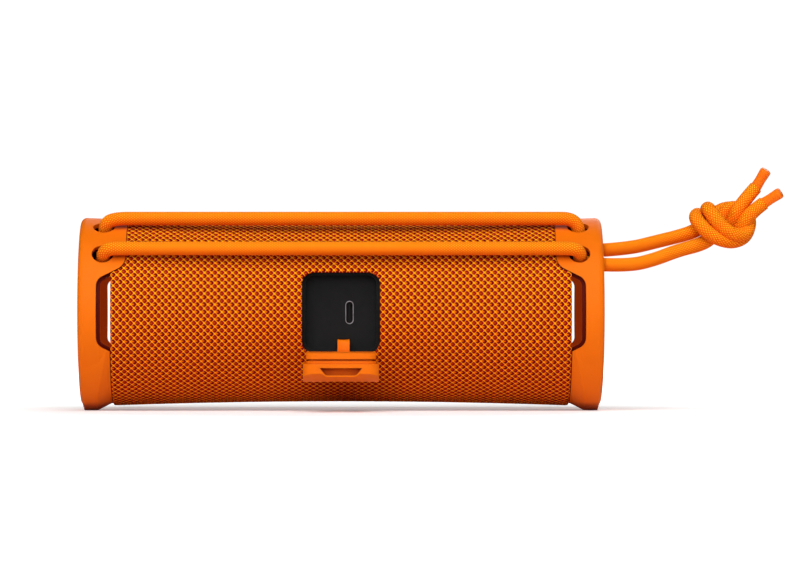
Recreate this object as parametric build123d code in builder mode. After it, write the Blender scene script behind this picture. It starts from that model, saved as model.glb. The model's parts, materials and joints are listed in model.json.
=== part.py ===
"""A portable cylindrical speaker with rubber end caps and a braided carrying strap.

X runs along the body, with the strap's knot at -X. -Y is the front, with the drivers
and the controls, and +Y the back, with the port bay. Z = 0 is the floor that the two
end caps stand on. Lengths are in millimetres, and u is the distance from the middle
of the body along X, so that both ends share one description.
"""

import os
from math import cos, pi, radians, sin, tan

from build123d import *

# ---------------------------------------------------------------- driving dimensions
AXIS_Z = 38.4  # the body's axis over the floor
BODY_HALF = 88.9  # half the fabric body's length
END_R = 36.6  # the fabric's radius at the ends
WAIST_R = 35.0  # and at the middle
FABRIC_T = 1.2
GAP = 0.1  # between fixed pieces that touch

TUBE_HALF = 86.0  # the plastic enclosure under the fabric
TUBE_BORE = 31.2
GRILLE_HALF = 66.0
GRILLE_HIGH = 20.0
BAFFLE_Y = -22.0  # front face of the driver baffle
BAFFLE_T = 2.5

CAP_END = 102.4  # half the whole body's length
CAP_R = 36.95
CAP_MID_U, CAP_MID_R = 93.3, 36.6  # where the cap stops narrowing and turns in to its edge
CAP_LIP_U = 89.2  # the cap's inner edge
CAP_LIP_R = 35.7
TAB_U = 83.2  # the tab reaches over the fabric to here
TAB_LOW = (TAB_U, 18.2)  # over the axis, its lower inner corner
TAB_CORNER = 5.3
TAB_SLOPE = 0.5  # its lower edge falls towards the window, and becomes the window's top
TAB_R = 36.8
WINDOW_U = 94.4  # the cap's sound window
WINDOW_Z = 15.2  # half its height at the cap's inner edge
WINDOW_CORNER = 4.2
FRAME_WINDOW_U = 93.0  # and the inner frame's, a little smaller
FRAME_WINDOW_Z = 13.7
FRAME_WINDOW_CORNER = 3.0
FOOT_R, FOOT_SINK = 34.6, 0.3  # the rounder underside, and how much of it the floor cuts off
SHELL_BORE = 34.9  # inside radius of the rubber shell
SHELL_END = 99.5
FRAME_BORE = 32.3
FRAME_END = 97.4
POST_R = 30.4
POST_ANGLES = (110, 225, 315)

CORD_D = 5.3
STRAP_R = 40.2  # the two strap runs, from the body's axis
HOLE_U = 92.1
HOLE_D = 8.4
UPPER_HOLE = 64.0  # degrees from the back (+Y) towards the top
LOWER_HOLE = 38.0
EXIT_D = 6.0

BAY_WIDE = 29.6
BAY_HIGH = 31.3
BAY_Z = 38.15
BAY_CORNER = 4.5
BAY_RIM = 1.1  # ledge inside the bay's edge
BAY_WALL = 1.2
LEDGE_Y = 28.0
FLOOR_Y = 22.6
FLOOR_T = 1.2
USB_X, USB_Z = -3.3, 38.2
USB_WIDE, USB_HIGH, USB_DEEP, USB_T = 3.16, 8.94, 7.3, 0.28

HINGE_Y, HINGE_Z = 27.95, 19.45  # the port cover turns about this line
OPEN_ANGLE = 90.9
HINGE_RELIEF = ((10.3, 5.1), (12.0, 5.5), (13.0, 6.0), (13.7, 6.5), (14.2, 7.3), (14.5, 8.0), (16.0, 9.5))  # x, radius
COVER_WIDE = 29.0
COVER_HIGH = 30.7
COVER_R = 35.4
COVER_INNER_Y = 28.3
BOSS_WIDE, BOSS_BOTTOM, BOSS_TOP = 26.8, 23.9, 52.1  # the plug that fills the bay
BOSS_CORNER = 3.6
BOSS_Y = 24.2
TETHER_X, TETHER_WIDE, TETHER_T = -1.0, 4.7, 1.5

CONTROL_ANGLE = 115.0  # the control strip, on the upper front
STRIP_LONG, STRIP_WIDE = 112.0, 15.0
STRIP_FLOOR = 32.6  # distances from the axis, along the strip's normal
STRIP_PROUD = 0.4
SLOT_LONG, SLOT_WIDE = 108.0, 11.4
BUTTON_D, BUTTON_FLANGE_D = 8.8, 10.4
BUTTON_PITCH = 17.0
BUTTONS = ("power", "pairing", "volume_down", "volume_up", "play", "bass")
BOARD_LOW, BOARD_T = 27.4, 1.2

WOOFER_X, TWEETER_X = -12.0, 52.0
RADIATOR_R = 21.4

SCREW_R = 33.2  # the radiator frames' screws, into the tube's wall
SCREW_ANGLES = (30, 150, 210, 330)

BODY_AXIS = Axis((0, 0, AXIS_Z), (1, 0, 0))
SIDES = {"left": -1, "right": 1}


# ---------------------------------------------------------------- shared shapes
def at_y(y):
    """An upright plane across Y. Its sketches use X and Z, and extrude towards -Y."""
    return Plane.XZ.offset(-y)


def at_u(side, u):
    """An upright plane across the body's axis, facing outwards."""
    return Plane((side * u, 0, AXIS_Z), x_dir=(0, side, 0), z_dir=(side, 0, 0))


def radial(angle, distance=0.0):
    """A plane square to the body's radius at this angle, at this distance from the axis."""
    out = (0, cos(radians(angle)), sin(radians(angle)))
    origin = (0, distance * out[1], AXIS_Z + distance * out[2])
    return Plane(origin, x_dir=(1, 0, 0), z_dir=out)


def around(angle, radius, x):
    """The point at this angle and radius about the body's axis."""
    return Vector(x, radius * cos(radians(angle)), AXIS_Z + radius * sin(radians(angle)))


def waisted(offset, half=BODY_HALF, rim=0.0):
    """A solid within the body's waisted surface, grown by offset, with its two rims rounded."""
    end_r = WAIST_R + (END_R - WAIST_R) * (half / BODY_HALF) ** 2
    with BuildPart() as solid:
        with BuildSketch(Plane.XZ) as profile:
            with BuildLine():
                skin = ThreePointArc(
                    (-half, AXIS_Z + end_r + offset),
                    (0, AXIS_Z + WAIST_R + offset),
                    (half, AXIS_Z + end_r + offset),
                )
                Polyline(skin @ 1, (half, AXIS_Z), (-half, AXIS_Z), skin @ 0)
            make_face()
            if rim > 0:
                fillet(profile.vertices().sort_by(Axis.Y)[-2:], rim)
        revolve(axis=BODY_AXIS)
    return solid.part


def ring(side, u_low, u_high, r_low, r_high):
    """A ring about the body's axis, or a disc where r_low is 0."""
    with BuildPart() as solid:
        with BuildSketch(at_u(side, u_low)):
            Circle(r_high)
            if r_low > 0:
                Circle(r_low, mode=Mode.SUBTRACT)
        extrude(amount=u_high - u_low)
    return solid.part


def rod(centre, direction, radius, length):
    """A cylinder from a point, along a direction."""
    with BuildPart() as solid:
        with BuildSketch(Plane(centre, z_dir=direction)):
            Circle(radius)
        extrude(amount=length)
    return solid.part


def block(x, y, z):
    """A box between its low and high sides, with heights from the body's axis."""
    with BuildPart() as solid:
        with BuildSketch(at_y(y[1])):
            with Locations(((x[0] + x[1]) / 2, AXIS_Z + (z[0] + z[1]) / 2)):
                Rectangle(x[1] - x[0], z[1] - z[0])
        extrude(amount=y[1] - y[0])
    return solid.part


def plate(wide, high, corner, y_low, y_high, x=0.0, z=AXIS_Z):
    """An upright rounded plate between two values of Y."""
    with BuildPart() as solid:
        with BuildSketch(at_y(y_high)):
            with Locations((x, z)):
                RectangleRounded(wide, high, corner)
        extrude(amount=y_high - y_low)
    return solid.part


def strip_slab(long, wide, corner, low, high, x=0.0):
    """A rounded slab on the control strip's plane."""
    with BuildPart() as solid:
        with BuildSketch(radial(CONTROL_ANGLE, low)):
            with Locations((x, 0)):
                RectangleRounded(long, wide, corner)
        extrude(amount=high - low)
    return solid.part


def window_cut(side, u_high, z_lip, corner):
    """A sound window, open towards the body, right through both walls of an end."""
    u_low = CAP_LIP_U - 8
    z_low, z_high = [z_lip - TAB_SLOPE * (u - CAP_LIP_U) for u in (u_low, u_high)]
    points = ((u_low, -z_low), (u_high, -z_high), (u_high, z_high), (u_low, z_low))
    with BuildPart() as solid:
        with BuildSketch(at_y(60)) as outline:
            Polygon(*[(side * u, AXIS_Z + z) for u, z in points], align=None)
            fillet(outline.vertices().sort_by(lambda v: side * v.X)[-2:], corner)
        extrude(amount=120)
    return solid.part


def tab_region(side, grow=0.0):
    """Everything over the tab's outline, seen from the back."""
    u, z = TAB_LOW
    points = [(u, 60), (u, z), (110, z - TAB_SLOPE * (110 - u)), (110, 60)]
    with BuildPart() as solid:
        with BuildSketch(at_y(60)) as outline:
            Polygon(*[(side * u, AXIS_Z + z) for u, z in points], align=None)
            fillet(outline.vertices().sort_by_distance((side * u, AXIS_Z + z, 0))[0], TAB_CORNER)
            if grow > 0:
                offset(amount=grow)
        extrude(amount=120)
    return solid.part


def tube_screw_holes():
    """Pilot holes in the tube's two ends, for the radiator frames' screws."""
    with BuildPart() as solid:
        for side in SIDES.values():
            for angle in SCREW_ANGLES:
                add(rod(around(angle, SCREW_R, side * 90), (-side, 0, 0), 0.95, 9))
    return solid.part


def spread_screws(points, direction, shank_r, shank, head_r, head):
    """Screws whose heads sit on the given points and whose shanks run along direction."""
    out = Vector(*direction) * -1
    with BuildPart() as group:
        for point in points:
            add(rod(point, direction, shank_r, shank))
            add(rod(point, tuple(out), head_r, head))
            add(rod(Vector(*point) + out * (head - 0.5), tuple(out), head_r * 0.45, 0.6), mode=Mode.SUBTRACT)
    return group.part


def save(part, name):
    """Labels a finished piece and writes it."""
    part.label = name
    export_step(part, f"parts/{name}.step")


os.makedirs("parts", exist_ok=True)

# ---------------------------------------------------------------- fabric and enclosure
with BuildPart() as fabric_sleeve:
    add(waisted(0, rim=1.0))
    add(waisted(-FABRIC_T), mode=Mode.SUBTRACT)
    add(plate(BAY_WIDE, BAY_HIGH, BAY_CORNER, 5, 60, z=BAY_Z), mode=Mode.SUBTRACT)
    add(strip_slab(STRIP_LONG + 0.2, STRIP_WIDE + 0.2, 5.1, 20, 60), mode=Mode.SUBTRACT)
    for side in SIDES.values():
        add(tab_region(side, 0.15), mode=Mode.SUBTRACT)
save(fabric_sleeve.part, "fabric_sleeve")

BOSS_X, BOSS_Z, BOSS_R = 68.0, 27.5, 4.0
boss_spots = [(x, z) for x in (-BOSS_X, BOSS_X) for z in (-BOSS_Z, BOSS_Z)]
skin = -FABRIC_T - GAP  # from the fabric's surface in to the enclosure's

with BuildPart() as enclosure_front:
    add(waisted(skin, TUBE_HALF))
    add(ring(1, -TUBE_HALF, TUBE_HALF, 0, TUBE_BORE), mode=Mode.SUBTRACT)
    split(bisect_by=Plane.XZ, keep=Keep.TOP)
    add(block((-TUBE_HALF + 6, TUBE_HALF - 6), (BAFFLE_Y, BAFFLE_Y + BAFFLE_T), (-22.6, 22.6)))
    for x, z in boss_spots:
        add(rod((x, -9, AXIS_Z + z), (0, 1, 0), BOSS_R, 9))
    add(block((-GRILLE_HALF, GRILLE_HALF), (-60, BAFFLE_Y), (-GRILLE_HIGH, GRILLE_HIGH)), mode=Mode.SUBTRACT)
    for x, z in boss_spots:
        add(rod((x, -7.5, AXIS_Z + z), (0, 1, 0), 1.55, 9), mode=Mode.SUBTRACT)
    with BuildSketch(at_y(BAFFLE_Y + BAFFLE_T + 1)):
        with Locations((WOOFER_X, AXIS_Z)):
            SlotOverall(79, 37)
            with GridLocations(74, 29, 2, 2):
                Circle(1.15)
        with Locations((TWEETER_X, AXIS_Z)):
            Circle(10.6)
    extrude(amount=BAFFLE_T + 2, mode=Mode.SUBTRACT)
    add(strip_slab(STRIP_LONG + 0.2, STRIP_WIDE + 0.2, 5.1, STRIP_FLOOR - GAP, 60), mode=Mode.SUBTRACT)
    add(strip_slab(SLOT_LONG, SLOT_WIDE, 3, 28, 60), mode=Mode.SUBTRACT)
    with BuildSketch(radial(CONTROL_ANGLE, BOARD_LOW + BOARD_T + GAP)):
        with GridLocations(112, 7, 2, 2):
            Circle(1.8)
    extrude(amount=3.4)
    add(tube_screw_holes(), mode=Mode.SUBTRACT)
save(enclosure_front.part, "enclosure_front")

STANDOFFS = [(x, 12.0) for x in (-50.0, -20.0, 20.0, 50.0)]
BOARD_Z = -22.0  # the main board's underside, from the axis

with BuildPart() as enclosure_rear:
    add(waisted(skin, TUBE_HALF))
    add(ring(1, -TUBE_HALF, TUBE_HALF, 0, TUBE_BORE), mode=Mode.SUBTRACT)
    split(bisect_by=Plane.XZ, keep=Keep.BOTTOM)
    for x, z in boss_spots:
        add(rod((x, 0, AXIS_Z + z), (0, 1, 0), BOSS_R, 19))
    for x, y in STANDOFFS:
        add(rod((x, y, AXIS_Z + BOARD_Z), (0, 0, -1), 2.4, 8))
    add(waisted(skin, TUBE_HALF), mode=Mode.INTERSECT)
    add(plate(BAY_WIDE + 2 * BAY_WALL + 0.2, BAY_HIGH + 2 * BAY_WALL + 0.2, 5.8, 5, 60, z=BAY_Z), mode=Mode.SUBTRACT)
    for x, z in boss_spots:
        add(rod((x, -1, AXIS_Z + z), (0, 1, 0), 1.55, 6), mode=Mode.SUBTRACT)
        add(rod((x, 4, AXIS_Z + z), (0, 1, 0), 3.0, 40), mode=Mode.SUBTRACT)
    for x, y in STANDOFFS:
        add(rod((x, y, AXIS_Z + BOARD_Z + 1), (0, 0, -1), 1.05, 6), mode=Mode.SUBTRACT)
    for z in (-1, 1):
        add(block((-84, 84), (0, 0.6), (z * 32.3 - 0.5, z * 32.3 + 0.5)), mode=Mode.SUBTRACT)
    add(tube_screw_holes(), mode=Mode.SUBTRACT)
save(enclosure_rear.part, "enclosure_rear")

with BuildPart() as seam_gasket:
    for z in (-1, 1):
        add(block((-83.9, 83.9), (0.02, 0.58), (z * 32.3 - 0.45, z * 32.3 + 0.45)))
save(seam_gasket.part, "seam_gasket")

save(
    spread_screws([(x, 4, AXIS_Z + z) for x, z in boss_spots], (0, -1, 0), 1.5, 11, 2.7, 2.2),
    "enclosure_screws",
)

with BuildPart() as front_grille:
    add(waisted(skin, TUBE_HALF))
    add(waisted(skin - 1.0, TUBE_HALF), mode=Mode.SUBTRACT)
    add(
        block((-GRILLE_HALF + 0.1, GRILLE_HALF - 0.1), (-60, -5), (-GRILLE_HIGH + 0.1, GRILLE_HIGH - 0.1)),
        mode=Mode.INTERSECT,
    )
    with BuildSketch(at_y(-20)):
        with Locations((0, AXIS_Z)):
            with GridLocations(6.2, 12.0, 20, 3):
                SlotOverall(9.5, 3.6, rotation=90)
    extrude(amount=20, mode=Mode.SUBTRACT)
save(front_grille.part, "front_grille")

# ---------------------------------------------------------------- woofer
WOOFER = (WOOFER_X, AXIS_Z)
FLANGE_FRONT = BAFFLE_Y - 2.0


def racetrack_loft(front, back):
    """A solid between two racetracks, each (length, height, y)."""
    with BuildPart() as solid:
        for long, high, y in (front, back):
            with BuildSketch(at_y(y)):
                with Locations(WOOFER):
                    SlotOverall(long, high) if long > high else Circle(high / 2)
        loft()
    return solid.part


with BuildPart() as woofer_basket:
    with BuildSketch(at_y(BAFFLE_Y - GAP)):
        with Locations(WOOFER):
            RectangleRounded(84, 39, 12)
            SlotOverall(73, 33, mode=Mode.SUBTRACT)
            with GridLocations(74, 29, 2, 2):
                Circle(1.2, mode=Mode.SUBTRACT)
    extrude(amount=2.0 - GAP)
    add(racetrack_loft((76, 35, BAFFLE_Y - 0.6), (46, 34, -7.0)))
    add(racetrack_loft((73.6, 32.6, BAFFLE_Y - 0.6), (43.6, 31.6, -8.2)), mode=Mode.SUBTRACT)
    with BuildSketch(at_y(-5)):
        with Locations(WOOFER):
            Circle(11.5)
    extrude(amount=6, mode=Mode.SUBTRACT)
    with BuildSketch(at_y(-10)):
        with Locations(WOOFER):
            with GridLocations(36, 60, 2, 1):
                SlotOverall(20, 7, rotation=90)
    extrude(amount=9, mode=Mode.SUBTRACT)
save(woofer_basket.part, "woofer_basket")

with BuildPart() as woofer_magnet:
    with BuildSketch(at_y(6.5)):
        with Locations(WOOFER):
            Circle(17)
    extrude(amount=13.4)
    with BuildSketch(at_y(8.0)):
        with Locations(WOOFER):
            Circle(14)
    extrude(amount=1.6)
    with BuildSketch(at_y(3.0)):
        with Locations(WOOFER):
            Circle(10.7)
            Circle(9.1, mode=Mode.SUBTRACT)
    extrude(amount=12, mode=Mode.SUBTRACT)
save(woofer_magnet.part, "woofer_magnet")

with BuildPart() as woofer_cone:
    add(racetrack_loft((64, 24, FLANGE_FRONT + 0.1), (20.8, 20.8, -12.5)))
    add(racetrack_loft((62.6, 22.6, FLANGE_FRONT), (19.4, 19.4, -13.3)), mode=Mode.SUBTRACT)
    with BuildSketch(at_y(-13.3)):
        with Locations(WOOFER):
            Circle(9.0)
    extrude(amount=0.8, mode=Mode.SUBTRACT)
    with BuildSketch(at_y(-13.0)):
        with Locations(WOOFER):
            Circle(9.9)
    extrude(amount=0.6)
save(woofer_cone.part, "woofer_cone")

with BuildPart() as woofer_voice_coil:
    with BuildSketch(at_y(-0.5)):
        with Locations(WOOFER):
            Circle(10.3)
            Circle(9.5, mode=Mode.SUBTRACT)
    extrude(amount=11.8)
save(woofer_voice_coil.part, "woofer_voice_coil")

with BuildPart() as woofer_surround:
    with BuildSketch(at_y(FLANGE_FRONT - 0.02)):
        with Locations(WOOFER):
            SlotOverall(73.4, 33.4)
            SlotOverall(63.6, 23.6, mode=Mode.SUBTRACT)
    extrude(amount=2.6)
    fillet(woofer_surround.faces().sort_by(Axis.Y)[0].edges(), 2.0)
    with BuildSketch(at_y(FLANGE_FRONT + 0.1)):
        with Locations(WOOFER):
            SlotOverall(71.8, 31.8)
            SlotOverall(65.2, 25.2, mode=Mode.SUBTRACT)
    extrude(amount=1.9, mode=Mode.SUBTRACT)
save(woofer_surround.part, "woofer_surround")

with BuildPart() as woofer_spider:
    with BuildSketch(at_y(-10.5)):
        with Locations(WOOFER):
            Circle(15.2)
            Circle(10.6, mode=Mode.SUBTRACT)
    extrude(amount=0.5)
save(woofer_spider.part, "woofer_spider")

with BuildPart() as woofer_gasket:
    with BuildSketch(at_y(FLANGE_FRONT)):
        with Locations(WOOFER):
            RectangleRounded(83.6, 38.6, 11.8)
            SlotOverall(77, 37, mode=Mode.SUBTRACT)
            with GridLocations(74, 29, 2, 2):
                Circle(2.3, mode=Mode.SUBTRACT)
    extrude(amount=0.8)
save(woofer_gasket.part, "woofer_gasket")

woofer_spots = [
    (WOOFER_X + x, FLANGE_FRONT, AXIS_Z + z) for x in (-37, 37) for z in (-14.5, 14.5)
]
save(spread_screws(woofer_spots, (0, 1, 0), 1.1, 3.9, 2.1, 1.2), "woofer_screws")

# ---------------------------------------------------------------- tweeter
TWEETER = (TWEETER_X, AXIS_Z)

with BuildPart() as tweeter_housing:
    with BuildSketch(at_y(BAFFLE_Y - GAP)):
        with Locations(TWEETER):
            Circle(13)
    extrude(amount=1.8)
    with BuildSketch(at_y(-11)):
        with Locations(TWEETER):
            Circle(10.2)
    extrude(amount=-BAFFLE_Y - 11 + GAP)
    with BuildSketch(at_y(-19)):
        with Locations(TWEETER):
            Circle(8.8)
    extrude(amount=6, mode=Mode.SUBTRACT)
save(tweeter_housing.part, "tweeter_housing")

with BuildPart() as tweeter_dome:
    with BuildSketch(at_y(-19.5)):
        with Locations(TWEETER):
            Circle(8.2)
    extrude(amount=4.6)
    fillet(tweeter_dome.faces().sort_by(Axis.Y)[0].edges(), 4.0)
    with BuildSketch(at_y(-19.4)):
        with Locations(TWEETER):
            Circle(7.5)
    extrude(amount=2.8, mode=Mode.SUBTRACT)
save(tweeter_dome.part, "tweeter_dome")

# ---------------------------------------------------------------- passive radiators
FRAME_LOW, FRAME_HIGH, SEAT_U = 86.05, 88.4, 87.6
for name, side in SIDES.items():
    with BuildPart() as radiator_frame:
        add(ring(side, FRAME_LOW, FRAME_HIGH, 26.8, 35.1))
        add(ring(side, 82.5, FRAME_LOW, 29.4, TUBE_BORE - GAP))
        add(ring(side, SEAT_U, FRAME_HIGH + 1, 26.0, 28.6), mode=Mode.SUBTRACT)
        for angle in SCREW_ANGLES:
            add(rod(around(angle, SCREW_R, side * 90), (-side, 0, 0), 0.95, 9), mode=Mode.SUBTRACT)
            add(rod(around(angle, SCREW_R, side * 90), (-side, 0, 0), 1.7, 2.8), mode=Mode.SUBTRACT)
        for angle in POST_ANGLES:
            add(rod(around(angle, POST_R, side * 90), (-side, 0, 0), 1.3, 12), mode=Mode.SUBTRACT)
    save(radiator_frame.part, f"radiator_frame_{name}")

    with BuildPart() as radiator_surround:
        with BuildSketch(Plane.XZ):
            with BuildLine():
                roll = ThreePointArc(
                    (side * SEAT_U, AXIS_Z + 21.4), (side * 85.0, AXIS_Z + 24.0), (side * SEAT_U, AXIS_Z + 26.6)
                )
                hollow = ThreePointArc(
                    (side * SEAT_U, AXIS_Z + 26.0), (side * 85.6, AXIS_Z + 24.0), (side * SEAT_U, AXIS_Z + 22.0)
                )
                Polyline(
                    roll @ 1,
                    (side * SEAT_U, AXIS_Z + 28.4),
                    (side * 88.2, AXIS_Z + 28.4),
                    (side * 88.2, AXIS_Z + 26.0),
                    hollow @ 0,
                )
                Polyline(
                    hollow @ 1,
                    (side * 88.2, AXIS_Z + 22.0),
                    (side * 88.2, AXIS_Z + 19.6),
                    (side * SEAT_U, AXIS_Z + 19.6),
                    roll @ 0,
                )
            make_face()
        revolve(axis=BODY_AXIS)
    save(radiator_surround.part, f"radiator_surround_{name}")

    with BuildPart() as radiator_plate:
        add(ring(side, 85.2, SEAT_U - 0.02, 0, RADIATOR_R - 0.1))
        add(ring(side, SEAT_U - 0.02, 88.1, 0, 19.3))
        add(ring(side, 87.7, 89.0, 13.0, 15.0), mode=Mode.SUBTRACT)
    save(radiator_plate.part, f"radiator_plate_{name}")

with BuildPart() as radiator_screws:
    for side in SIDES.values():
        heads = [around(a, SCREW_R, side * 87.2) for a in SCREW_ANGLES]
        add(spread_screws(heads, (-side, 0, 0), 0.9, 4.5, 1.6, 1.1))
save(radiator_screws.part, "radiator_screws")

# ---------------------------------------------------------------- end caps and their frames
EXITS = ((13.4, 24.1), (23.4, 18.3))  # where the strap leaves the left cap: Y, and Z from the axis


def cord_holes(side, radius):
    """The two radial holes that the strap runs pass through, in the tab."""
    with BuildPart() as solid:
        for angle in (UPPER_HOLE, LOWER_HOLE):
            start = around(angle, 24, side * HOLE_U)
            add(rod(start, (0, cos(radians(angle)), sin(radians(angle))), radius, 20))
    return solid.part


def exit_holes(radius):
    """The two holes in the left end that the strap leaves by."""
    with BuildPart() as solid:
        for y, z in EXITS:
            add(rod((-95.6, y, AXIS_Z + z), (-1, 0, 0), radius, 12))
    return solid.part


def strap_tab(side):
    """The cap's tongue over the fabric, which the strap runs enter."""
    skin = [(TAB_U, TAB_R), (CAP_MID_U, CAP_MID_R), (WINDOW_U + 3, CAP_MID_R)]
    bore = [(WINDOW_U + 3, SHELL_BORE), (TAB_U, SHELL_BORE)]
    with BuildPart() as solid:
        with BuildSketch(Plane.XZ):
            Polygon(*[(side * u, AXIS_Z + r) for u, r in skin + bore], align=None)
        revolve(axis=BODY_AXIS)
        add(ring(side, TAB_U - 1, CAP_LIP_U, 0, 35.45), mode=Mode.SUBTRACT)
        add(tab_region(side), mode=Mode.INTERSECT)
    return solid.part


def foot(side):
    """The thicker underside of a cap, which runs smoothly into its round wall, with a flat pad on the floor."""
    profile = [(CAP_LIP_U, 0), (CAP_LIP_U, 35.5), (94.6, 38.2), (96.0, 39.0), (100.1, 39.0)]
    profile += [(CAP_END - 1.7, 37.2), (CAP_END - 1.25, 35.3), (CAP_END - 0.75, 31.0), (CAP_END - 0.75, 0)]
    with BuildPart() as solid:
        with BuildSketch(at_u(side, CAP_LIP_U)):
            with Locations((0, FOOT_R - FOOT_SINK - AXIS_Z)):
                Circle(FOOT_R)
        extrude(amount=13)
        with BuildPart(mode=Mode.INTERSECT):
            with BuildSketch(Plane.XZ):
                Polygon(*[(side * u, AXIS_Z + r) for u, r in profile], align=None)
            revolve(axis=BODY_AXIS)
        add(block((-110, 110), (-40, 40), (-AXIS_Z, 0)), mode=Mode.INTERSECT)
    return solid.part


for name, side in SIDES.items():
    with BuildPart() as end_frame:
        add(ring(side, FRAME_HIGH + 0.05, FRAME_END + 2.0, 0, SHELL_BORE - GAP))
        add(ring(side, FRAME_HIGH - 1, FRAME_END, 0, FRAME_BORE), mode=Mode.SUBTRACT)
        add(window_cut(side, FRAME_WINDOW_U, FRAME_WINDOW_Z, FRAME_WINDOW_CORNER), mode=Mode.SUBTRACT)
        for angle in POST_ANGLES:
            add(rod(around(angle, POST_R, side * (FRAME_HIGH + 0.05)), (side, 0, 0), 2.6, 9.4))
        for angle in POST_ANGLES:
            add(rod(around(angle, POST_R, side * 88), (side, 0, 0), 1.3, 12), mode=Mode.SUBTRACT)
            add(rod(around(angle, POST_R, side * 97.9), (side, 0, 0), 2.6, 3), mode=Mode.SUBTRACT)
        add(cord_holes(side, HOLE_D / 2 + 1.2), mode=Mode.SUBTRACT)
        if side < 0:
            add(exit_holes(EXIT_D / 2 + 0.2), mode=Mode.SUBTRACT)
    save(end_frame.part, f"end_frame_{name}")

    with BuildPart() as end_cap:
        with BuildSketch(Plane.XZ):
            with BuildLine():
                crown = ThreePointArc(
                    (side * CAP_END, AXIS_Z),
                    (side * (CAP_END - 0.22), AXIS_Z + CAP_R / 2),
                    (side * (CAP_END - 0.9), AXIS_Z + CAP_R),
                )
                Polyline(
                    crown @ 1,
                    (side * CAP_MID_U, AXIS_Z + CAP_MID_R),
                    (side * CAP_LIP_U, AXIS_Z + CAP_LIP_R),
                    (side * CAP_LIP_U, AXIS_Z),
                    crown @ 0,
                )
            make_face()
        revolve(axis=BODY_AXIS)
        corner = end_cap.edges().filter_by(GeomType.CIRCLE).sort_by(lambda e: side * e.center().X)
        fillet([e for e in corner if abs(e.radius - CAP_R) < 0.01][-1], 2.3)
        add(foot(side))
        add(strap_tab(side))
        add(ring(side, CAP_LIP_U - 0.05, SHELL_END, 0, SHELL_BORE), mode=Mode.SUBTRACT)
        add(window_cut(side, WINDOW_U, WINDOW_Z, WINDOW_CORNER), mode=Mode.SUBTRACT)
        add(cord_holes(side, HOLE_D / 2), mode=Mode.SUBTRACT)
        if side < 0:
            add(exit_holes(EXIT_D / 2), mode=Mode.SUBTRACT)
    save(end_cap.part, f"end_cap_{name}")

with BuildPart() as end_frame_screws:
    for side in SIDES.values():
        heads = [around(a, POST_R, side * 97.9) for a in POST_ANGLES]
        add(spread_screws(heads, (-side, 0, 0), 1.2, 11.7, 2.3, 1.4))
save(end_frame_screws.part, "end_frame_screws")

# ---------------------------------------------------------------- port bay and its cover
USB_BOARD_Y = FLOOR_Y - USB_DEEP - 0.1
POCKET_WIDE, POCKET_HIGH = BAY_WIDE - 2 * BAY_RIM, BAY_HIGH - 2 * BAY_RIM
TETHER_Z = 26.9  # the tether's slot in the bay's floor

with BuildPart() as port_bay:
    add(plate(BAY_WIDE + 2 * BAY_WALL, BAY_HIGH + 2 * BAY_WALL, 5.7, FLOOR_Y - FLOOR_T, 60, z=BAY_Z))
    add(waisted(skin), mode=Mode.INTERSECT)
    add(plate(BAY_WIDE, BAY_HIGH, BAY_CORNER, LEDGE_Y, 60, z=BAY_Z), mode=Mode.SUBTRACT)
    add(plate(POCKET_WIDE, POCKET_HIGH, BAY_CORNER - BAY_RIM, FLOOR_Y, 60, z=BAY_Z), mode=Mode.SUBTRACT)
    with BuildSketch(at_y(FLOOR_Y + 1)):
        with Locations((USB_X, USB_Z)):
            SlotOverall(USB_HIGH + 0.1, USB_WIDE + 0.1, rotation=90)
        with Locations((TETHER_X, TETHER_Z)):
            RectangleRounded(TETHER_WIDE + 0.5, TETHER_T + 0.5, 0.6)
    extrude(amount=FLOOR_T + 2, mode=Mode.SUBTRACT)
    for x in (-8.0, 8.0):
        for z in (-9.0, 9.0):
            add(rod((x, FLOOR_Y - FLOOR_T, BAY_Z + z), (0, -1, 0), 1.8, FLOOR_Y - FLOOR_T - USB_BOARD_Y))
save(port_bay.part, "port_bay")

with BuildPart() as usb_socket_shell:
    with BuildSketch(at_y(FLOOR_Y - 0.1)):
        with Locations((USB_X, USB_Z)):
            SlotOverall(USB_HIGH, USB_WIDE, rotation=90)
    extrude(amount=USB_DEEP - 0.1)
    with BuildSketch(at_y(FLOOR_Y)):
        with Locations((USB_X, USB_Z)):
            SlotOverall(USB_HIGH - 2 * USB_T, USB_WIDE - 2 * USB_T, rotation=90)
    extrude(amount=USB_DEEP - 0.4, mode=Mode.SUBTRACT)
save(usb_socket_shell.part, "usb_socket_shell")

with BuildPart() as usb_tongue:
    with BuildSketch(at_y(FLOOR_Y - 0.9)):
        with Locations((USB_X, USB_Z)):
            RectangleRounded(0.7, 6.7, 0.2)
    extrude(amount=USB_DEEP - 1.35)
save(usb_tongue.part, "usb_tongue")

save(plate(21, 24, 1.5, USB_BOARD_Y - 1.2, USB_BOARD_Y, z=BAY_Z), "usb_board")

LIP_TOP = BAY_Z + COVER_HIGH / 2
BAND_T, GROOVE_T, GROOVE_DEEP = 1.1, 0.75, 1.0


def cover_trapezoid(grow):
    """The outline of the finger notch, in the cover's top end."""
    points = ((-8.0, 29.8), (8.0, 29.8), (5.9, 32.6), (-5.9, 32.6))
    with BuildSketch(Plane.XY.offset(LIP_TOP)) as outline:
        Polygon(*points, align=None)
        fillet(outline.vertices().group_by(Axis.Y)[-1], 2.0)
        if grow > 0:
            offset(amount=grow)
    return outline.sketch


hinge_line = Axis((0, HINGE_Y, HINGE_Z), (1, 0, 0))
with BuildPart() as hinge_relief:  # wider at its ends, where the bay's rounded corners stand higher
    with BuildSketch(at_y(HINGE_Y)):
        upper = [(x, HINGE_Z + radius) for x, radius in HINGE_RELIEF]
        mirrored = [(-x, z) for x, z in reversed(upper)]
        Polygon((-16, HINGE_Z), *mirrored, *upper, (16, HINGE_Z), align=None)
    revolve(axis=hinge_line)

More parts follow.
